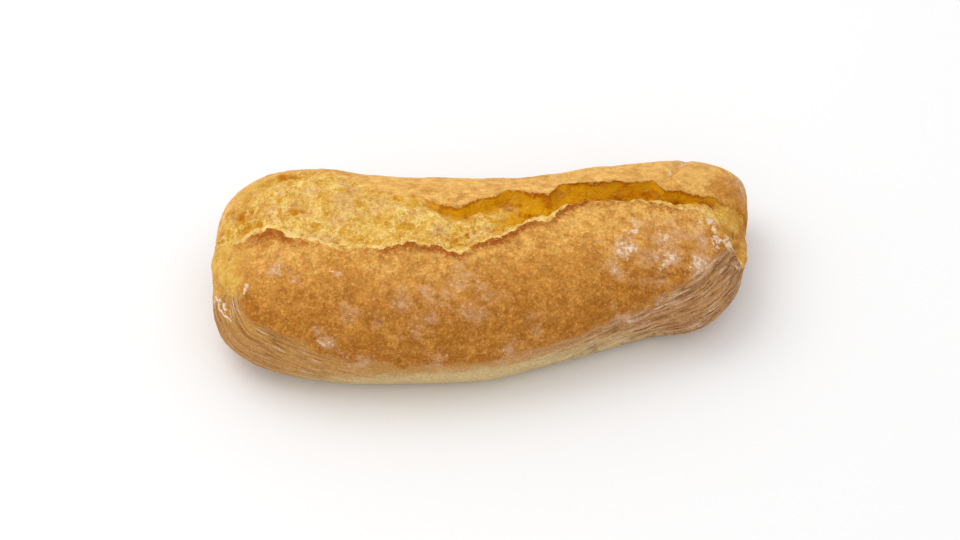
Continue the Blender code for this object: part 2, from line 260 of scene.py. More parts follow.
# Loose grains of flour.
FLOUR_GRAINS = 3000
GRAIN_RADIUS = 0.34
GRAIN_SIZES = (0.2, 1)  # from the smallest to the largest, as a share of that radius
GRAIN_SIDES = (0.4, 1)  # range of a grain's three half widths, as a share of its own size
GRAIN_SPREAD = 0.006  # how much flour lies where no patch is, as a share of the thickest
FLOUR_CLOUDS = ((7, 1), (3, 0.7))  # size and weight of the clouds it lies in
CLOUD_CONTRAST = 1.5
CLEAN_FOOT = 2.0  # no grains lie lower than this
OCTAHEDRON = ((0, 1, 2), (1, 3, 2), (3, 4, 2), (4, 0, 2), (1, 0, 5), (3, 1, 5), (4, 3, 5), (0, 4, 5))

# Scraps of dough, as (reach, girth, length, width, height, turn).
SCRAPS = (
    (50.6, 71, 4.6, 2.6, 1.2, 75), (56, 57, 3, 2.2, 1.2, 0), (54, 55, 2.2, 2.2, 1, 30),
    (58, 31, 2.8, 2.2, 1, 0), (42, 43, 2, 1.2, 0.6, 20), (-49.5, 57, 2.6, 2, 1, 80),
)
SCRAP_SIDES = 24
ASIDE = (0, 0.6, 0.8)  # an unturned scrap or grain lies square to this direction
SCRAP_LUMPS = ((0.9, 0.6), (0.4, 0.5))  # size and height, for a scrap of radius 1

# The mesh: rings from tip to tip, and columns round a ring, as (place, columns before it) pairs. A
# place counts a ring's five stretches: front crust, torn wall, crumb, torn wall and back crust.
RINGS = 460
FINE_REACHES = 3001  # places by which the rings are spaced evenly
COLUMNS = ((0, 0), (0.42, 12), (0.78, 84), (1, 112), (2, 119), (3, 169), (4, 175), (4.6, 204), (5, 214))
LEAST_SWELL = 0.3  # share of the full cross-section below which widths along the girth stop narrowing
TIP_FADE = 14.0  # the burst and the lumps fade out over this many degrees of reach before each tip
BASE_FADE = 9.0  # and the lumps over this height above the base

# The camera stands in front of the loaf, a little to its left, and looks down on it.
CAMERA_TARGET = Vector((-3.4, -1.6, 25.0)) * MM
CAMERA_AZIMUTH = -4.5
CAMERA_ELEVATION = 50.0
CAMERA_DISTANCE = 1142 * MM
CAMERA_LENS = 85.0

# The studio, in metres and watts.
FLOOR_HALF_WIDTH = 3.0
FLOOR_COLOUR = (0.9, 0.9, 0.9, 1)
ROOM_BRIGHTNESS = 0.9
LAMP_PLACE = (-0.5, 0.3, 1.1)
LAMP_SIZE = 0.9
LAMP_POWER = 5


def along(pairs, x):
    """Smooth curve through (x, value) pairs, flat beyond its ends."""
    knots, values = (np.array(column, float) for column in zip(*pairs))
    slopes = np.gradient(values, knots)
    x = np.clip(x, knots[0], knots[-1])
    i = np.clip(np.searchsorted(knots, x) - 1, 0, len(knots) - 2)
    width = knots[i + 1] - knots[i]
    t = (x - knots[i]) / width
    bend = width * t * (1 - t) * (slopes[i] * (1 - t) - slopes[i + 1] * t)
    return values[i] + (values[i + 1] - values[i]) * smooth(t) + bend


def smooth(t):
    """From 0 to 1, level at both ends."""
    t = np.clip(t, 0, 1)
    return t * t * (3 - 2 * t)


def rounded(value, roundness):
    """Sine or cosine bent from an ellipse towards a box."""
    return np.sign(value) * np.abs(value) ** (2 / roundness)


def bumps(points, size, seed):
    """Smooth noise between about -1 and 1, with lumps of this size. Each seed gives another pattern."""
    shift = Vector((seed, 0, 0))
    values = [noise.noise(Vector(point) / size + shift) for point in points.reshape(-1, 3)]
    return np.array(values).reshape(points.shape[:-1])


def layered(points, layers, seed):
    """Sum of bumps for (size, height) pairs."""
    return sum(height * bumps(points, size, seed) for size, height in layers)


def outline(reach, front):
    """Place along X and share of the full cross-section, on a superellipse from tip to tip."""
    share = (1 + front) / 2
    left = LEFT_BLUNTNESS[1] + (LEFT_BLUNTNESS[0] - LEFT_BLUNTNESS[1]) * share
    right = RIGHT_BLUNTNESS[1] + (RIGHT_BLUNTNESS[0] - RIGHT_BLUNTNESS[1]) * share
    bluntness = END_BLUNTNESS + (np.where(reach < 0, left, right) - END_BLUNTNESS) * front**2
    sine, cosine = np.sin(np.radians(reach)), np.cos(np.radians(reach))
    size = (np.abs(sine) ** bluntness + np.abs(cosine) ** bluntness) ** (1 / bluntness)
    return LENGTH / 2 * sine / size, cosine / size


def settled(z):
    """Heights after the loaf has settled on its flat base."""
    soft = (z + BASE_BLEND) ** 2 / (4 * BASE_BLEND)
    return np.where(z > BASE_BLEND, z, np.where(z < -BASE_BLEND, 0.0, soft))


def skin(reach, girth):
    """Points of the unburst loaf, for angles in degrees."""
    front, up = np.cos(np.radians(girth)), np.sin(np.radians(girth))
    x, swell = outline(reach, front)
    half = np.where(front > 0, along(FRONT_REACH, x), along(BACK_REACH, x))
    roundness = np.where(up > 0, CROWN_ROUNDNESS, BASE_ROUNDNESS)
    height = np.where(up > 0, along(CROWN_Z, x) - EQUATOR_Z, EQUATOR_Z + BASE_CUT)
    sideways = swell * rounded(front, roundness)
    y = along(SPINE_Y, x) - half * sideways
    z = EQUATOR_Z + height * swell * rounded(up, roundness)
    x = x + along(END_SLANT, x) * sideways
    return np.stack([x, y, settled(z)], axis=-1)


def directions(reach, girth, step=0.4):
    """Unit vectors out of the skin and along its girth."""
    round_it = skin(reach, girth + step) - skin(reach, girth - step)
    along_it = skin(reach + step, girth) - skin(reach - step, girth)
    outward = np.cross(along_it, round_it)
    outward /= np.linalg.norm(outward, axis=-1, keepdims=True)
    return outward, round_it / np.linalg.norm(round_it, axis=-1, keepdims=True)


def even_reaches():
    """Reach of each ring, evenly spaced along the skin, without the two tips."""
    fine = np.linspace(-90, 90, FINE_REACHES)
    x, swell = outline(fine, 0)
    path = np.cumsum(np.hypot(np.gradient(x), MEAN_RADIUS * np.gradient(swell)))
    return np.interp(np.linspace(path[0], path[-1], RINGS + 2)[1:-1], path, fine)


def uneven(x, layers, seed):
    """Unevenness along the loaf, in millimetres."""
    line = np.stack([x, np.zeros_like(x), np.zeros_like(x)], axis=-1)
    return layered(line, layers, seed)


def lips(reach):
    """Girth of the front and the back lip, and how many degrees of girth make a millimetre."""
    x, swell = outline(reach, 0)
    millimetre = np.degrees(1 / (MEAN_RADIUS * np.maximum(swell, LEAST_SWELL)))
    front = along(FRONT_LIP, x) + uneven(x, LIP_WAVES, seed=3) * millimetre
    back = along(BACK_LIP, x) + uneven(x, LIP_WAVES, seed=7) * millimetre
    return front, back, millimetre


def stretch_ends(x, front, back, millimetre):
    """Girth and height above the skin at the ends of each ring's five stretches, from base to base."""
    ledge = along(FRONT_LEDGE, x) + uneven(x, LEDGE_WAVES, seed=13)
    front_foot = along(FRONT_LIP, x) + ledge * millimetre
    back_foot = along(BACK_LIP, x) - BACK_WALL * millimetre
    front_drop, back_drop = along(FRONT_DROP, x), along(BACK_DROP, x)
    front_rise = np.full_like(x, LIP_RISE)
    back_rise = LIP_RISE * smooth(back_drop / OPEN_DROP)
    base = np.full_like(x, BASE_GIRTH)
    girths = np.stack([base - 360, front, front_foot, back_foot, back, base])
    heights = np.stack([front_rise, front_rise, -front_drop, -back_drop, back_rise, back_rise])
    return girths, heights


def burst(reach, place):
    """Girth, height above the skin, shift along the girth, share of crumb and distance from each lip.

    The place counts the stretches of a ring, each from 0 to 1 across its width.
    """
    x = outline(reach, 0)[0]
    front, back, millimetre = lips(reach)
    girths, levels = stretch_ends(x, front, back, millimetre)
    stretch = np.floor(place).astype(int)
    t = place - stretch
    girth = girths[stretch].T * (1 - t) + girths[stretch + 1].T * t
    past_front = (girth - front[:, None]) / millimetre[:, None]
    past_back = (back[:, None] - girth) / millimetre[:, None]

    ease = np.select([stretch == 1, stretch == 3], [t**4, t * (2 - t)], t)
    level = levels[stretch].T + (levels[stretch + 1] - levels[stretch]).T * ease
    curled = level * np.exp(np.where(stretch == 0, past_front, past_back) / LIP_CURL)
    swelled = level + along(CRUMB_SWELL, x)[:, None] * np.sin(np.pi * t)
    height = np.select([stretch == 2, stretch % 2 == 1], [swelled, level], curled)

    drop = np.maximum(along(FRONT_DROP, x), along(BACK_DROP, x))[:, None]
    hollow = UNDERCUT * np.sin(np.pi * t) * drop / DEEP_DROP
    shift = np.select([stretch == 1, stretch == 3], [-hollow, hollow], 0.0)
    shift = shift + uneven(x, LIP_JAGS, seed=5)[:, None] * np.exp(-np.abs(past_front) / JAG_WIDTH)
    shift = shift + uneven(x, LIP_JAGS, seed=9)[:, None] * np.exp(-np.abs(past_back) / JAG_WIDTH)

    walls = [CRUMB_START * t, 1.0, CRUMB_START * (1 - t)]
    opened = np.select([stretch == 1, stretch == 2, stretch == 3], walls, 0.0)
    crumb = np.broadcast_to(np.minimum(opened, 1), girth.shape)
    return girth, height, shift, crumb, past_front, past_back


def line_on_skin(knots, steps):
    """Points along a line given by (reach, girth) knots."""
    reaches, girths = np.array(knots, float).T
    t = np.linspace(0, 1, steps)
    knot_t = np.linspace(0, 1, len(knots))
    return skin(np.interp(t, knot_t, reaches), np.interp(t, knot_t, girths))


def crease_depth(points):
    """How far the creases press in at each point of the skin."""
    depth = np.zeros(points.shape[:-1])
    t = np.linspace(0, 1, CREASE_STEPS)
    taper = smooth(CREASE_TAPER * t + CREASE_START) * smooth(CREASE_TAPER * (1 - t))
    for knots, width, deepest in CREASES:
        for spot, share in zip(line_on_skin(knots, CREASE_STEPS), taper):
            nearness = np.exp(-((2 * np.linalg.norm(points - spot, axis=-1) / width) ** 2))
            depth = np.maximum(depth, deepest * share * nearness)
    return depth


def patches(points, places):
    """Nearness to the nearest of these (reach, girth, radius, strength) places."""
    nearness = np.zeros(points.shape[:-1])
    for reach, girth, radius, strength in places:
        centre = skin(np.array([reach]), np.array([girth]))[0]
        off = np.linalg.norm(points - centre, axis=-1)
        nearness = np.maximum(nearness, strength * np.exp(-((off / radius) ** 2)))
    return nearness


def warped(points, layers, seed):
    """The points pulled about by smooth noise, so that round patches come out ragged."""
    return points + np.stack([layered(points, layers, seed + axis) for axis in range(3)], axis=-1)


def lines(points, routes):
    """Nearness to the nearest of these (route, half width, strength) lines."""
    nearness = np.zeros(points.shape[:-1])
    for knots, width, strength in routes:
        for spot in line_on_skin(knots, CREASE_STEPS):
            off = np.linalg.norm(points - spot, axis=-1)
            nearness = np.maximum(nearness, strength * np.exp(-((off / width) ** 2)))
    return nearness


def brown_edge(points, reach, girth):
    """Distance inside the browned crust, less than 0 outside it, and the distance to its front edge.

    The place along that edge comes third.
    """
    line = line_on_skin(BROWN_EDGE, EDGE_STEPS)
    run = np.concatenate([[0], np.cumsum(np.linalg.norm(np.diff(line, axis=0), axis=-1))])
    distance = np.full(points.shape[:-1], np.inf)
    place = np.zeros(points.shape[:-1])
    for spot, here in zip(line, run):
        off = np.linalg.norm(points - spot, axis=-1)
        place = np.where(off < distance, here, place)
        distance = np.minimum(distance, off)
    reaches, girths = np.array(BROWN_EDGE, float).T
    edge = np.interp(reach, reaches, girths, left=180, right=180)
    front = np.where(girth > edge, distance, -distance)
    forward = (along(SPINE_Y, points[..., 0]) - points[..., 1]) / MEAN_RADIUS
    behind = smooth(0.5 - END_EDGE_TURN * forward + (points[..., 2] - EQUATOR_Z) / END_EDGE_RUN)
    above = points[..., 2] - BACK_EDGE_Z
    underneath = smooth((girth - 180) / 90)
    capped = np.clip(front, -END_EDGE_DEPTH, END_EDGE_DEPTH) * (1 - 2 * underneath)
    return np.minimum(capped + (above - capped) * behind, above), front, place


def closed_faces(rings, columns):
    """Faces of a grid that closes round itself, with a fan to one more point at each end."""
    faces = []
    for column in range(columns):
        beside = (column + 1) % columns
        for ring in range(rings - 1):
            low, high = ring * columns, (ring + 1) * columns
            faces.append((low + beside, low + column, high + column, high + beside))
        last = (rings - 1) * columns
        faces.append((column, beside, rings * columns))
        faces.append((last + beside, last + column, rings * columns + 1))
    return faces


def pits(points, spacing, share, seed):
    """Depth from 0 to 1 of uneven pits, one in this share of the cells that lie this far apart."""
    depth = np.zeros(len(points))
    warp = np.stack([bumps(points, spacing, seed + axis) for axis in range(3)], axis=-1)
    for i, point in enumerate(points / spacing + PIT_WARP * warp):
        distances, centres = noise.voronoi(Vector(point) + Vector((seed, 0, 0)))
        if noise.cell(centres[0] * PIT_DRAW) < share:
            depth[i] = 1 - distances[0] / PIT_RADIUS
    return smooth(depth)


def torn(points):
    """Height of the torn crumb's ridges and pits, less than 0 in a pit."""
    height = sum(
        high * (RIDGE_CREST - RIDGE_STEEPNESS * np.abs(bumps(points, size, seed=51)))
        for size, high in CRUMB_RIDGES
    )
    hollows = sum(deep * pits(points, spacing, share, seed=61) for spacing, deep, share in CRUMB_PITS)
    return height - hollows


def wrinkles(across, run):
    """Depth from 0 to 1 of wrinkles along the edge of the browned crust."""
    place = np.stack([run / WRINKLE_LENGTH, across / WRINKLE_SPACING, np.zeros_like(run)], axis=-1)
    return smooth(1 - WRINKLE_SHARPNESS * np.abs(bumps(place, 1.0, seed=71)))


def lip_masks(x, height, past_front, past_back):
    """Masks that follow the two lips of the burst."""
    strip = 1 - smooth(past_front / along(CRUMB_SMOOTH, x))
    # painted shadow: a dark line close below the overhanging back lip
    painted_lip_shadow = smooth(1 - past_back / LIP_SHADOW_WIDTH) * smooth((x - LIP_SHADOW_START) / LIP_SHADOW_RUN)
    # painted shade on the torn wall below the back lip
    wall_shade = smooth(WALL_SHADE_EDGE - past_back / WALL_SHADE_WIDTH)
    rim = along(RIM, x) * smooth(1 + past_front / RIM_WIDTH)
    return {
        "inner": np.clip(np.minimum(past_front, past_back), -INNER_REACH, INNER_REACH),
        "strip": (past_front > 0) * strip,
        "painted_lip_shadow": painted_lip_shadow,
        "wall_shade": wall_shade * smooth(along(BACK_DROP, x) / OPEN_DROP),
        # how far the crumb lies below the skin, which sets the painted shade of the deep burst
        "depth": np.maximum(-height, 0),
        "rim": rim * smooth((past_back - past_front) / RIM_WIDTH),
    }


def edge_masks(points, reach, girth):
    """Masks of the browned crust, and of the pale skin below it with its wrinkles."""
    inside, across, run = brown_edge(points, reach, girth)
    browned = smooth(0.5 + (inside + layered(points, EDGE_WANDER, seed=81)) / BROWN_SOFTNESS)
    wrinkled = (1 - browned) * along(WRINKLE_SHARE, reach)
    return {
        "across": across,
        "run": run,
        "browned": browned,
        "wrinkled": wrinkled,
        "furrows": wrinkles(across, run) * wrinkled,
        "paleness": along(FOOT_PALENESS, reach),
        "dusty": along(DUSTINESS, reach),
    }


def patch_masks(points):
    """Masks of what lies at single places or along single lines."""
    frayed = warped(points, FRAY_WARP, seed=101)
    ragged = warped(points, PATCH_WARP, seed=111)
    return {
        "hollow": patches(frayed, HOLES),
        "clots": patches(frayed, FLOUR_CLOTS),
        "powder": lines(frayed, FLOUR_LINES),
        "cracks": lines(frayed, CRACKS),
        "flour": patches(ragged, FLOUR_PATCHES),
        "toast": patches(ragged, TOAST_PATCHES),
        "dough": patches(ragged, DOUGH_PATCHES),
        "sponge": patches(ragged, SPONGE_PATCHES),
        "rosy": patches(ragged, ROSY_PATCHES),
    }


def crumb_tears(split, crumb, away, hollows):
    """Height of the torn crumb's fine relief, which fades out towards the lips, and of its holes."""
    height = np.zeros(crumb.shape)
    height[crumb > 0] = torn(split[crumb > 0])
    return away * height - hollows


def relief(points, split, away, masks):
    """Height of the relief at each point, from the places before and after the loaf burst."""
    whole = 1 - masks["crumb"]
    crust = layered(points, CRUST_LUMPS, seed=11) + layered(split, CRUST_GRAIN, seed=31) * whole
    crust += (BROWN_STEP * masks["browned"] - WRINKLE_DEPTH * masks["furrows"]) * whole
    crust -= patches(points, DENTS)
    crags = layered(points, CRUMB_LUMPS, seed=23) + away * layered(split, CRUMB_GRAIN, seed=41)
    crags += masks["ridge"]
    height = crust * smooth(points[..., 2] / BASE_FADE) + crags * masks["crumb"]
    return height - crease_depth(points) + FLOUR_RIDGE * masks["powder"] - CRACK_DEPTH * masks["cracks"]


def loaf_shape():
    """The burst loaf's grid of points in millimetres, its two tips, and masks that its finish needs.

    The base rests on z = 0 under the middle of the loaf.
    """
    reaches = even_reaches()
    places, counts = np.array(COLUMNS, float).T
    place = np.interp(np.arange(counts[-1]), counts, places)
    girth, height, shift, crumb, past_front, past_back = burst(reaches, place)
    reach = np.repeat(reaches[:, None], len(place), axis=1)
    x = outline(reach, 0)[0]
    points = skin(reach, girth)
    outward, sideways = directions(reach, girth)
    fade = smooth((90 - np.abs(reach)) / TIP_FADE)[..., None]
    split = points + fade * (outward * height[..., None] + sideways * shift[..., None])

    masks = {"reach": reach, "girth": girth, "height": points[..., 2], "crumb": crumb}
    masks |= lip_masks(x, height, past_front, past_back)
    masks |= edge_masks(points, reach, girth)
    masks |= patch_masks(points)
    away = smooth(past_front / along(CRUMB_SMOOTH, x)) * smooth(past_back)
    masks["ridge"] = crumb_tears(split, crumb, away, masks["hollow"])
    moved = split + fade * outward * relief(points, split, away, masks)[..., None]
    masks = {name: np.broadcast_to(values, reach.shape) for name, values in masks.items()}

    tips = skin(np.array([-90.0, 90.0]), np.array([90.0, 90.0]))
    ends = np.concatenate([moved.reshape(-1, 3), tips])
    low, high = ends.min(axis=0), ends.max(axis=0)
    origin = np.array([(low[0] + high[0]) / 2, (low[1] + high[1]) / 2, low[2]])
    return moved - origin, tips - origin, masks


def add_object(name, data):
    thing = bpy.data.objects.new(name, data)
    bpy.context.scene.collection.objects.link(thing)
    return thing


def add_mesh(name, points, faces, masks, material):
    """Object of a mesh whose points are in millimetres, with one number for each point in each mask."""
    mesh = bpy.data.meshes.new(name)
    mesh.from_pydata((points * MM).tolist(), [], faces)
    for mask, values in masks.items():
        attribute = mesh.attributes.new(mask, "FLOAT", "POINT")
        attribute.data.foreach_set("value", values.astype(np.float32))
    mesh.materials.append(material)
    mesh.shade_smooth()
    piece = add_object(name, mesh)
    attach(piece, "root")
    return piece


def make_loaf(grid, tips, masks):
    """The whole loaf as one closed mesh."""
    points = np.concatenate([grid.reshape(-1, 3), tips])
    masks = {name: np.append(values, [0, 0]) for name, values in masks.items()}
    faces = closed_faces(*grid.shape[:2])
    loaf = add_mesh("loaf", points, faces, masks, loaf_material())
    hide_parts("ciabatta")


def grid_normals(grid):
    """Vectors out of the loaf at each point of its grid, as long as the area round the point."""
    round_it = np.roll(grid, -1, axis=1) - np.roll(grid, 1, axis=1)
    return np.cross(np.gradient(grid, axis=0), round_it / 2)


def local_axes(normals, turns):
    """Two directions along the skin and the one out of it, turned round it by angles in degrees."""
    out = normals / np.linalg.norm(normals, axis=-1, keepdims=True)
    first = np.cross(out, ASIDE)
    first /= np.linalg.norm(first, axis=-1, keepdims=True)
    second = np.cross(out, first)
    turns = np.radians(turns)[:, None]
    ahead = first * np.cos(turns) + second * np.sin(turns)
    return np.stack([ahead, np.cross(out, ahead), out], axis=1)


def scattered(grid, weights, draw):
    """Random places on the grid, likelier where the weight is larger, and the ring and column of each."""
    chance = np.cumsum(weights)
    picks = np.searchsorted(chance, draw.random(FLOUR_GRAINS) * chance[-1])
    ring, column = np.unravel_index(picks, weights.shape)
    ring = np.minimum(ring, len(grid) - 2)
    beside = (column + 1) % grid.shape[1]
    along_it, round_it = draw.random((2, FLOUR_GRAINS, 1))
    near = grid[ring, column] * (1 - round_it) + grid[ring, beside] * round_it
    far = grid[ring + 1, column] * (1 - round_it) + grid[ring + 1, beside] * round_it
    return near * (1 - along_it) + far * along_it, ring, column


def make_flour(grid, masks):
    """Grains of flour lying on the crust, thickest where it is floured."""
    draw = np.random.default_rng(seed=5)
    normals = grid_normals(grid)
    clouds = smooth(CLOUD_CONTRAST * layered(grid, FLOUR_CLOUDS, seed=91))
    weights = GRAIN_SPREAD + masks["flour"] * clouds + masks["powder"]
    weights *= (1 - masks["crumb"]) * np.linalg.norm(normals, axis=-1) * (masks["height"] > CLEAN_FOOT)
    places, ring, column = scattered(grid, weights, draw)
    sizes = GRAIN_RADIUS * draw.uniform(*GRAIN_SIZES, (FLOUR_GRAINS, 1))
    sizes = sizes * draw.uniform(*GRAIN_SIDES, (FLOUR_GRAINS, 3))
    turns = draw.uniform(0, 360, FLOUR_GRAINS)
    axes = local_axes(normals[ring, column], turns) * sizes[..., None]
    corners = np.concatenate([axes, -axes], axis=1) + places[:, None]
    faces = (np.arange(FLOUR_GRAINS)[:, None, None] * 6 + np.array(OCTAHEDRON)).reshape(-1, 3)
    material = plain("flour", GRAIN, roughness=0.9)
    add_mesh("flour_grains", corners.reshape(-1, 3), faces.tolist(), {}, material)


def make_scraps(grid, masks):
    """Scraps of dough stuck to the ends of the loaf."""
    normals = grid_normals(grid)
    unit, faces = ball(SCRAP_SIDES, SCRAP_SIDES // 2)
    points, joined = [], []
    for i, (reach, girth, length, width, height, turn) in enumerate(SCRAPS):
        off = np.hypot(masks["reach"] - reach, (masks["girth"] - girth) / 2)
        spot = np.unravel_index(np.argmin(off), off.shape)
        half_sizes = np.array([[length], [width], [height]]) / 2
        axes = local_axes(normals[spot][None], np.array([turn]))[0] * half_sizes
        lumpy = 1 + layered(unit, SCRAP_LUMPS, seed=95 + i)[:, None]
        points.append(grid[spot] + (unit * lumpy) @ axes)
        joined += [tuple(corner + i * len(unit) for corner in face) for face in faces]
    material = plain("dough", SCRAP, roughness=0.8)
    add_mesh("dough_scraps", np.concatenate(points), joined, {}, material)


def ball(around, up):
    """Points and faces of a ball of radius 1."""
    levels = np.linspace(-90, 90, up + 1)[1:-1]
    turns = np.arange(around) * 360 / around
    level, turn = np.radians(np.meshgrid(levels, turns, indexing="ij"))
    grid = np.stack([np.cos(level) * np.cos(turn), np.cos(level) * np.sin(turn), np.sin(level)], axis=-1)
    points = np.concatenate([grid.reshape(-1, 3), [[0, 0, -1], [0, 0, 1]]])
    return points, [face[::-1] for face in closed_faces(up - 1, around)]


def display(red, green, blue):
    """Linear colour that shows as these values from 0 to 255."""
    share = np.array([red, green, blue]) / 255
    linear = np.where(share <= 0.04045, share / 12.92, ((share + 0.055) / 1.055) ** 2.4)
    return (*linear.tolist(), 1.0)


class Shading:
    """The nodes of one material, added and joined by short calls."""

    # Sockets of the colour Mix node, whose names repeat.
    FIRST, SECOND, MIXED = 6, 7, 2

    def __init__(self, name):
        self.material = bpy.data.materials.new(name)
        self.material.use_nodes = True
        self.nodes = self.material.node_tree.nodes
        self.links = self.material.node_tree.links
        self.shader = self.nodes["Principled BSDF"]
        self.place = self.add("TexCoord").outputs["Object"]

    def add(self, kind, inputs=(), **settings):
        node = self.nodes.new("ShaderNode" + kind)
        for name, value in settings.items():
            setattr(node, name, value)
        for name, value in dict(inputs).items():
            self.join(node.inputs[name], value)
        return node

    def join(self, socket, value):
        """Sets a socket to a value, or joins it to another node's output."""
        if isinstance(value, bpy.types.NodeSocket):
            self.links.new(value, socket)
        else:
            socket.default_value = value

    def mask(self, name):
        return self.add("Attribute", attribute_name=name).outputs["Fac"]

    def math(self, operation, first, second):
        return self.add("Math", {0: first, 1: second}, operation=operation).outputs[0]

    def plus(self, first, second):
        return self.math("ADD", first, second)

    def times(self, first, second):
        return self.math("MULTIPLY", first, second)

    def noise(self, size, detail=2.0, roughness=0.5):
        """Noise from 0 to 1 whose patches are this many millimetres across."""
        inputs = {"Vector": self.place, "Scale": 1 / (size * MM), "Detail": detail, "Roughness": roughness}
        return self.add("TexNoise", inputs).outputs["Fac"]

    def swing(self, span, size, detail, roughness):
        """Noise to either side of 0, over this span."""
        return self.times(self.plus(self.noise(size, detail, roughness), -0.5), span)

    def ragged(self, mask, span, size, detail, roughness):
        """A mask plus noise from 0 to this span, so that what follows it has ragged edges."""
        return self.plus(self.mask(mask), self.times(self.noise(size, detail, roughness), span))

    def ramp(self, value, low, high):
        """0 at the low value, 1 at the high one, level at both ends."""
        inputs = {"Value": value, "From Min": low, "From Max": high}
        return self.add("MapRange", inputs, interpolation_type="SMOOTHSTEP").outputs["Result"]

    def mix(self, first, second, share, most=1.0):
        """Colour that turns from the first to the second by this share, times the most it may turn."""
        inputs = {0: self.times(share, most), self.FIRST: first, self.SECOND: second}
        return self.add("Mix", inputs, data_type="RGBA", clamp_factor=True).outputs[self.MIXED]

    def tint(self, first, second, value, low, high, most=1.0):
        """Colour that turns from the first to the second as the value goes from low to high."""
        return self.mix(first, second, self.ramp(value, low, high), most)

    def shade(self, tone, level, spread):
        """Colour made darker where the level is under 0.5 and lighter where it is over."""
        factor = self.plus(self.times(level, 2 * spread), 1 - spread)
        inputs = {0: 1.0, self.FIRST: tone, self.SECOND: factor}
        return self.add("Mix", inputs, data_type="RGBA", blend_type="MULTIPLY").outputs[self.MIXED]

    def pores(self, size):
        """Distance to the middle of the nearest uneven pore, for pores this many millimetres apart."""
        wander = self.add("TexNoise", {"Vector": self.place, "Scale": 1 / (size * MM)}).outputs["Color"]
        inputs = {0: wander, 1: (size * MM,) * 3, 2: self.place}
        place = self.add("VectorMath", inputs, operation="MULTIPLY_ADD").outputs["Vector"]
        return self.add("TexVoronoi", {"Vector": place, "Scale": 1 / (size * MM)}).outputs["Distance"]


# Colours of the loaf, as they show in even light, and the colours of its painted shade.
CREAM = display(244, 218, 142)
STRAW = display(228, 184, 88)
HONEY = display(208, 152, 42)
ROSY = display(214, 166, 106)
# Painted shade in the crumb's pits, in its deep burst, below the back lip and in its holes.
OLIVE_PIT_SHADE = display(190, 138, 40)
AMBER_SHADE = display(214, 150, 4)
RUST_SHADE = display(182, 102, 0)
HOLE_SHADE = display(196, 124, 8)
TAWNY = display(196, 136, 54)
BLOND = display(232, 182, 100)
GOLD = display(222, 168, 86)
TAN = display(194, 132, 56)
BROWN = display(170, 106, 34)
SPECKLE = display(242, 200, 124)
DARK = display(156, 80, 14)
PALE = display(208, 184, 134)
GOLDEN = display(190, 138, 74)
DUSTY = display(184, 136, 90)
# Painted shade in pinholes, wrinkles and cracks.
RECESS_SHADE = display(108, 62, 24)
DOUGH = display(222, 178, 88)
STRETCHED = display(202, 150, 58)
HAZE = display(212, 172, 136)
FLOUR = display(238, 220, 200)
GRAIN = display(226, 204, 180)
SCRAP = display(226, 196, 150)

# Girths between which the crust changes round the loaf.
FRONT_BROWNING = (92, 30)
BACK_BROWNING = (142, 200)
BLOND_BACK = (95, 120)
LIVELY_FRONT = (125, 95)  # its patterns are twice as strong there

ROUGHNESS = 0.7
GLOSS = 0.08
BUMP_STRENGTH = 0.6
BUMP_DEPTH = 0.5


def crumb_pores(loaf, spongy):
    """How deep in one of the crumb's fine pores, from 0 to 1."""
    coarse = loaf.times(loaf.ramp(loaf.pores(2.8), 0.4, 0.1), spongy)
    fine = loaf.times(loaf.ramp(loaf.pores(1.5), 0.45, 0.15), loaf.ramp(loaf.noise(5), 0.35, 0.6))
    return loaf.math("MAXIMUM", coarse, loaf.times(fine, 0.5))


def crumb_colour(loaf, pores, spongy):
    """Straw-coloured crumb, cream with painted light on its high ridges, painted shade in its pits and at
    the foot of the burst.
    """
    light = loaf.plus(loaf.noise(9, 4, 0.6), loaf.times(loaf.mask("sponge"), -0.2))
    tone = loaf.tint(HONEY, STRAW, light, 0.37, 0.6)
    rosy = loaf.plus(loaf.noise(12, 5, 0.6), loaf.times(loaf.mask("rosy"), 0.14))
    tone = loaf.tint(tone, ROSY, rosy, 0.5, 0.64, 0.8)
    clumps = loaf.noise(4, 5, 0.65)
    tone = loaf.tint(tone, TAWNY, clumps, 0.5, 0.32, 0.95)
    tone = loaf.tint(tone, CREAM, clumps, 0.52, 0.66, 0.7)
    height = loaf.ragged("ridge", 2.0, 2.2, 4, 0.7)
    # painted light: cream where the crumb's ridges stand high
    tone = loaf.tint(tone, CREAM, height, 1.0, 1.8, 0.45)
    net = loaf.math("ABSOLUTE", loaf.swing(1.0, 7, 4, 0.6), 0.0)
    tone = loaf.tint(tone, CREAM, net, 0.03, 0.005, 0.5)
    # painted shade in the pores, and below where the crumb lies low between its ridges
    tone = loaf.mix(tone, OLIVE_PIT_SHADE, pores, 0.6)
    tone = loaf.tint(tone, OLIVE_PIT_SHADE, height, 0.0, -1.0, 0.8)
    strip = loaf.times(loaf.mask("strip"), loaf.ramp(loaf.noise(4, 4, 0.6), 0.35, 0.65))
    tone = loaf.mix(tone, CREAM, strip, 0.7)
    tone, deep = shade_deep_crumb(loaf, tone)
    contrast = loaf.plus(loaf.plus(spongy, 0.5), loaf.times(deep, -0.5))
    return loaf.shade(tone, loaf.plus(loaf.swing(contrast, 1.2, 4, 0.75), 0.5), 0.5)


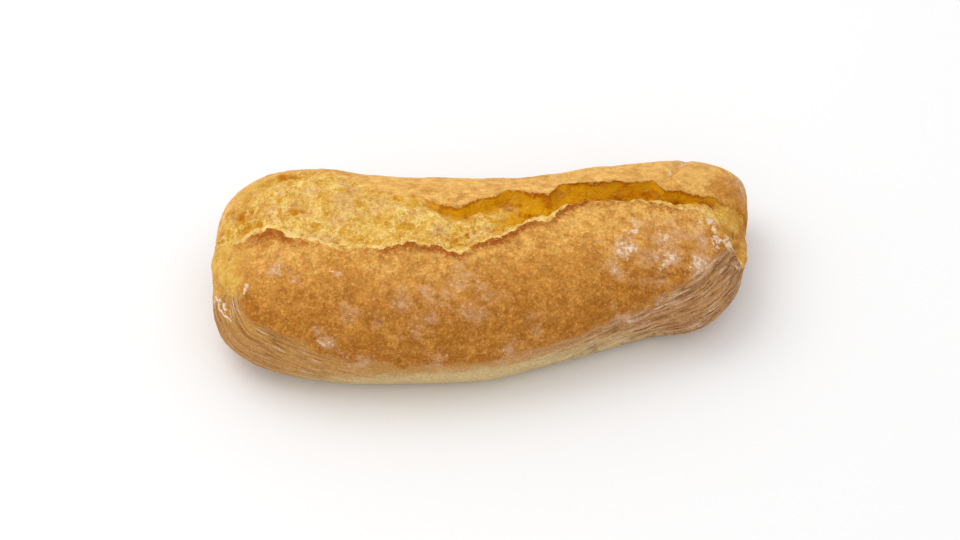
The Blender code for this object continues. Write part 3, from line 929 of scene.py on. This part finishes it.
def shade_deep_crumb(loaf, tone):
    """The crumb's colour with painted shade: amber where the burst is deep, and rust painted shadow below
    the back lip.

    The share of painted shade in the deep burst comes second, from 0 to 1.
    """
    clumps = loaf.noise(3, 5, 0.7)
    low = loaf.plus(loaf.mask("depth"), loaf.times(clumps, 3.0))
    wall_shade = loaf.plus(loaf.mask("wall_shade"), clumps)
    deep = loaf.math("MAXIMUM", loaf.ramp(low, 3.7, 6.0), loaf.ramp(wall_shade, 0.6, 1.3))
    amber = loaf.tint(AMBER_SHADE, RUST_SHADE, loaf.noise(8, 4, 0.6), 0.46, 0.7)
    amber = loaf.tint(amber, HONEY, loaf.noise(5, 4, 0.6), 0.52, 0.66, 0.5)
    # painted shade: amber, with rust patches, where the burst is deep and on the wall below the back lip
    tone = loaf.mix(tone, amber, deep)
    # painted shadow in rust, close below the back lip
    painted_lip_shadow = loaf.plus(loaf.mask("painted_lip_shadow"), loaf.times(clumps, 0.9))
    return loaf.tint(tone, RUST_SHADE, painted_lip_shadow, 0.7, 1.4), deep


def crust_colour(loaf):
    """Golden crust, browner towards the front and the back, with a dark rim along the front lip."""
    girth = loaf.mask("girth")
    contrast = loaf.plus(loaf.times(loaf.ramp(girth, *LIVELY_FRONT), 0.5), 0.5)
    clouds = loaf.plus(loaf.noise(14, 3), loaf.times(loaf.noise(5, 5, 0.65), 2.4))
    clouds = loaf.plus(loaf.times(loaf.plus(clouds, -1.7), contrast), 1.65)
    turned = loaf.plus(loaf.ramp(girth, *FRONT_BROWNING), loaf.ramp(girth, *BACK_BROWNING))
    baked = loaf.plus(loaf.plus(turned, loaf.times(loaf.mask("toast"), 0.9)), clouds)
    tone = loaf.tint(GOLD, BLOND, girth, *BLOND_BACK)
    tone = loaf.tint(tone, TAN, baked, 1.4, 2.1)
    tone = loaf.tint(tone, BROWN, baked, 2.1, 2.9)
    broken = loaf.times(loaf.mask("rim"), loaf.plus(loaf.noise(7, 3), 0.5))
    rim = loaf.plus(broken, loaf.times(loaf.noise(1.8, 5, 0.75), 1.6))
    tone = loaf.tint(tone, DARK, rim, 0.85, 1.75, 0.95)
    return crust_grain(loaf, tone, contrast)


def crust_grain(loaf, tone, contrast):
    """The crust's colour with its fine irregular grain, its light specks and painted shade in its
    pinholes.
    """
    grain = loaf.plus(loaf.swing(contrast, 1.5, 5, 0.75), 0.5)
    tone = loaf.shade(tone, grain, 1.0)
    tone = loaf.shade(tone, loaf.noise(4, 3), 0.3)
    tone = loaf.tint(tone, SPECKLE, grain, 0.54, 0.7, 0.28)
    # painted shade in the crust's pinholes
    pinholes = loaf.times(loaf.ramp(loaf.pores(6.0), 0.09, 0.04), loaf.ramp(loaf.noise(11), 0.45, 0.6))
    return loaf.mix(tone, RECESS_SHADE, pinholes, 0.6)


def pale_colour(loaf):
    """Skin below the browned crust: flour along its ridges, painted shade in the lines between them, pale
    at its foot.
    """
    dusty = loaf.plus(loaf.mask("dusty"), loaf.swing(2.5, 10, 5, 0.65))
    tone = loaf.mix(GOLDEN, DUSTY, dusty)
    height = loaf.mask("height")
    creamy = loaf.times(loaf.mask("paleness"), loaf.ramp(height, *PALE_FOOT))
    creamy = loaf.plus(creamy, loaf.ramp(height, *PALE_HEM))
    creamy = loaf.plus(creamy, loaf.swing(0.9, 6, 4, 0.6))
    tone = loaf.tint(tone, PALE, creamy, 0.1, 0.9, 0.9)
    lengthwise = loaf.math("DIVIDE", loaf.mask("run"), STREAK_LENGTH)
    place = loaf.add("CombineXYZ", {"X": lengthwise, "Y": loaf.mask("across")}).outputs[0]
    inputs = {"Vector": place, "Scale": 1.0, "Detail": 5.0, "Roughness": 0.6}
    streak = loaf.add("TexNoise", inputs).outputs["Fac"]
    wrinkled = loaf.mask("wrinkled")
    floury = loaf.times(loaf.ramp(streak, 0.5, 0.7), loaf.ramp(loaf.noise(11, 4), 0.3, 0.7))
    tone = loaf.mix(tone, FLOUR, loaf.times(floury, wrinkled), 0.85)
    # painted shade in the furrows between the wrinkles
    tone = loaf.mix(tone, RECESS_SHADE, loaf.times(loaf.ramp(streak, 0.44, 0.37), wrinkled), 0.8)
    tone = loaf.mix(tone, RECESS_SHADE, loaf.mask("furrows"), 0.5)
    return loaf.shade(tone, loaf.noise(1.4, 5, 0.7), 0.6)


def floured(loaf, tone):
    """The skin under its flour: a thin cloudy haze, and white specks where more of it lies."""
    dusted = loaf.times(loaf.mask("flour"), 0.42)
    tone = loaf.tint(tone, HAZE, loaf.plus(dusted, loaf.noise(8, 6, 0.7)), 0.6, 0.92, 0.6)
    return loaf.tint(tone, FLOUR, loaf.plus(dusted, loaf.noise(2.2, 6, 0.75)), 0.76, 0.9, 0.7)


def details(loaf, tone, crumb):
    """Stretched dough, toasted crumb, painted shade in hollows and cracks, and the flour that lies thick.
    """
    dough = loaf.tint(STRETCHED, DOUGH, loaf.noise(5, 5, 0.65), 0.4, 0.6)
    dough = loaf.shade(dough, loaf.noise(1.4, 5, 0.7), 0.5)
    tone = loaf.tint(tone, dough, loaf.ragged("dough", 1.2, 9, 5, 0.65), 0.75, 1.5, 0.9)
    toasted = loaf.times(loaf.mask("toast"), loaf.ramp(loaf.noise(4, 4, 0.6), 0.35, 0.6))
    tone = loaf.mix(tone, TAN, loaf.times(toasted, crumb))
    # painted shade in the holes of the crumb
    tone = loaf.tint(tone, HOLE_SHADE, loaf.ragged("hollow", 0.8, 2, 4, 0.6), 0.7, 1.5, 0.85)
    # painted shade in the cracks
    tone = loaf.mix(tone, RECESS_SHADE, loaf.mask("cracks"), 0.85)
    tone = loaf.tint(tone, FLOUR, loaf.ragged("clots", 4.0, 1.5, 5, 0.7), 2.9, 3.7, 0.85)
    return loaf.tint(tone, FLOUR, loaf.ragged("powder", 1.2, 1.6, 4, 0.7), 0.9, 1.4, 0.85)


def loaf_material():
    loaf = Shading("loaf")
    tone = floured(loaf, loaf.mix(pale_colour(loaf), crust_colour(loaf), loaf.mask("browned")))
    inner = loaf.plus(loaf.mask("inner"), loaf.swing(5.0, 2.6, 5, 0.7))
    crumb = loaf.ramp(inner, 0.0, 0.5)
    spongy = loaf.ramp(loaf.noise(11, 3), 0.4, 0.6)
    pores = crumb_pores(loaf, spongy)
    tone = loaf.mix(tone, crumb_colour(loaf, pores, spongy), crumb)
    loaf.join(loaf.shader.inputs["Base Color"], details(loaf, tone, crumb))
    loaf.shader.inputs["Roughness"].default_value = ROUGHNESS
    loaf.shader.inputs["Specular IOR Level"].default_value = GLOSS
    grain = loaf.plus(loaf.noise(0.8), loaf.times(loaf.noise(1.8), 1.5))
    height = loaf.plus(grain, loaf.times(loaf.times(pores, crumb), -1.5))
    bump = loaf.add("Bump", {"Height": height, "Strength": BUMP_STRENGTH, "Distance": BUMP_DEPTH * MM})
    loaf.join(loaf.shader.inputs["Normal"], bump.outputs["Normal"])
    return loaf.material


def plain(name, colour, roughness):
    """Material of one even colour."""
    material = bpy.data.materials.new(name)
    material.use_nodes = True
    shader = material.node_tree.nodes["Principled BSDF"]
    shader.inputs["Base Color"].default_value = colour
    shader.inputs["Roughness"].default_value = roughness
    return material


def make_camera():
    camera = add_object("camera", bpy.data.cameras.new("camera"))
    azimuth, elevation = np.radians(CAMERA_AZIMUTH), np.radians(CAMERA_ELEVATION)
    away = Vector((
        np.sin(azimuth) * np.cos(elevation), -np.cos(azimuth) * np.cos(elevation), np.sin(elevation),
    ))
    camera.location = CAMERA_TARGET + CAMERA_DISTANCE * away
    camera.rotation_euler = away.to_track_quat("Z", "Y").to_euler()
    camera.data.lens = CAMERA_LENS
    bpy.context.scene.camera = camera


def make_floor():
    mesh = bpy.data.meshes.new("floor")
    half = FLOOR_HALF_WIDTH
    corners = [(-half, -half, 0), (half, -half, 0), (half, half, 0), (-half, half, 0)]
    mesh.from_pydata(corners, [], [(0, 1, 2, 3)])
    mesh.materials.append(plain("floor", FLOOR_COLOUR, roughness=0.9))
    floor = add_object("floor", mesh)


def make_room():
    """A white room that lights the loaf evenly from all round."""
    world = bpy.data.worlds.new("studio")
    world.use_nodes = True
    background = world.node_tree.nodes["Background"]
    background.inputs["Color"].default_value = (1, 1, 1, 1)
    background.inputs["Strength"].default_value = ROOM_BRIGHTNESS
    bpy.context.scene.world = world
    bpy.context.scene.view_settings.view_transform = "Standard"


def make_lamp():
    """One large soft lamp above the loaf, a little behind it and to its left."""
    data = bpy.data.lights.new("key", "AREA")
    data.size = LAMP_SIZE
    data.energy = LAMP_POWER
    lamp = add_object("key", data)
    lamp.location = LAMP_PLACE
    lamp.rotation_euler = Vector(LAMP_PLACE).to_track_quat("Z", "Y").to_euler()


def main():
    make_camera()
    make_floor()
    make_room()
    make_lamp()
    grid, tips, masks = loaf_shape()
    make_loaf(grid, tips, masks)
    make_flour(grid, masks)
    make_scraps(grid, masks)


main()
